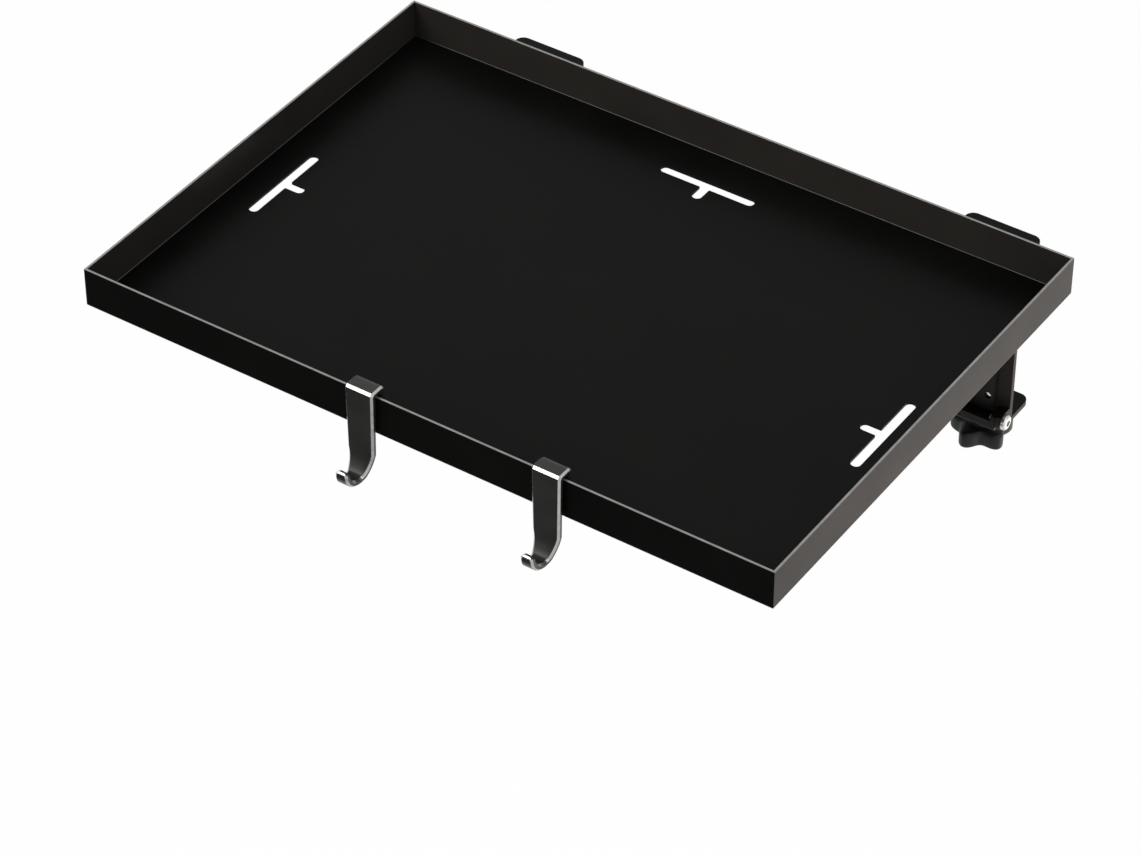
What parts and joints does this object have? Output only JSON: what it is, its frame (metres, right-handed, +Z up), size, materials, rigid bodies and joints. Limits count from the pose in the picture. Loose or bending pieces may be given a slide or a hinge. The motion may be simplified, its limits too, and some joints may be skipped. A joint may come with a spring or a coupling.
{
  "type": "folding bedside tray",
  "caption": "Shallow black steel tray on screw clamps for a bed rail, folding down on friction hinges, with sliding hooks on its front wall.",
  "frame": {"origin": "midway between the two clamps, on the edge where the bed rail's top face meets its front face", "axes": "+X along the bed rail, +Y towards the bed, +Z up; the tray reaches towards -Y"},
  "size_m": [0.4, 0.3485, 0.1682],
  "materials": {
    "black_coat": "satin black powder coat",
    "black_nickel": "polished black nickel plating",
    "black_plastic": "moulded black plastic, fine grain",
    "zinc_steel": "bright zinc plated steel",
    "grip_rubber": "matt black",
    "nylon": "natural nylon washer"
  },
  "bodies": {
    "clamps": {"left_clamp_bracket": "black_coat", "left_top_liner": "grip_rubber", "left_hinge_base": "black_coat", "left_rivet_upper": "black_coat", "left_rivet_lower": "black_coat", "left_hinge_bolt": "zinc_steel", "left_hinge_washer": "zinc_steel", "left_hinge_nut": "zinc_steel", "left_friction_washer_left": "nylon", "left_friction_washer_right": "nylon", "left_lower_jaw": "black_coat", "left_jaw_bolt_left": "zinc_steel", "left_jaw_bolt_right": "zinc_steel", "left_thread_bush": "zinc_steel", "right_clamp_bracket": "black_coat", "right_top_liner": "grip_rubber", "right_hinge_base": "black_coat", "right_rivet_upper": "black_coat", "right_rivet_lower": "black_coat", "right_hinge_bolt": "zinc_steel", "right_hinge_washer": "zinc_steel", "right_hinge_nut": "zinc_steel", "right_friction_washer_left": "nylon", "right_friction_washer_right": "nylon", "right_lower_jaw": "black_coat", "right_jaw_bolt_left": "zinc_steel", "right_jaw_bolt_right": "zinc_steel", "right_thread_bush": "zinc_steel"},
    "tray": {"tray_pan": "black_coat", "left_tray_bracket": "black_coat", "left_stud_nut_back": "zinc_steel", "left_stud_nut_front": "zinc_steel", "right_tray_bracket": "black_coat", "right_stud_nut_back": "zinc_steel", "right_stud_nut_front": "zinc_steel"},
    "left_pad": {"left_pad_cup": "zinc_steel", "left_pad_rubber": "grip_rubber"},
    "left_screw": {"left_clamp_screw": "zinc_steel", "left_star_knob": "black_plastic"},
    "right_pad": {"right_pad_cup": "zinc_steel", "right_pad_rubber": "grip_rubber"},
    "right_screw": {"right_clamp_screw": "zinc_steel", "right_star_knob": "black_plastic"},
    "hook_left": {"hook_left": "black_nickel"},
    "hook_right": {"hook_right": "black_nickel"}
  },
  "joints": [
    {"name": "tray_fold", "type": "hinge", "parent": "clamps", "child": "tray", "pos_m": [0, -0.0185, -0.0085], "axis": [1, 0, 0], "range_deg": [0, 90]},
    {"name": "left_pad_travel", "type": "slide", "parent": "clamps", "child": "left_pad", "axis": [0, 0, -1], "range_m": [0, 0.07]},
    {"name": "left_screw_turn", "type": "hinge", "parent": "left_pad", "child": "left_screw", "pos_m": [-0.1395, 0.0086, -0.06], "axis": [0, 0, -1], "range_deg": [0, 20160]},
    {"name": "right_pad_travel", "type": "slide", "parent": "clamps", "child": "right_pad", "axis": [0, 0, -1], "range_m": [0, 0.07]},
    {"name": "right_screw_turn", "type": "hinge", "parent": "right_pad", "child": "right_screw", "pos_m": [0.1395, 0.0086, -0.06], "axis": [0, 0, -1], "range_deg": [0, 20160]},
    {"name": "hook_left_slide", "type": "slide", "parent": "tray", "child": "hook_left", "axis": [1, 0, 0], "range_m": [-0.158, 0.045]},
    {"name": "hook_right_slide", "type": "slide", "parent": "tray", "child": "hook_right", "axis": [1, 0, 0], "range_m": [-0.045, 0.112]}
  ],
  "couplings": [
    {"joint": "left_screw_turn", "follows": "left_pad_travel", "rad_per_m": 5026.5},
    {"joint": "right_screw_turn", "follows": "right_pad_travel", "rad_per_m": 5026.5}
  ]
}
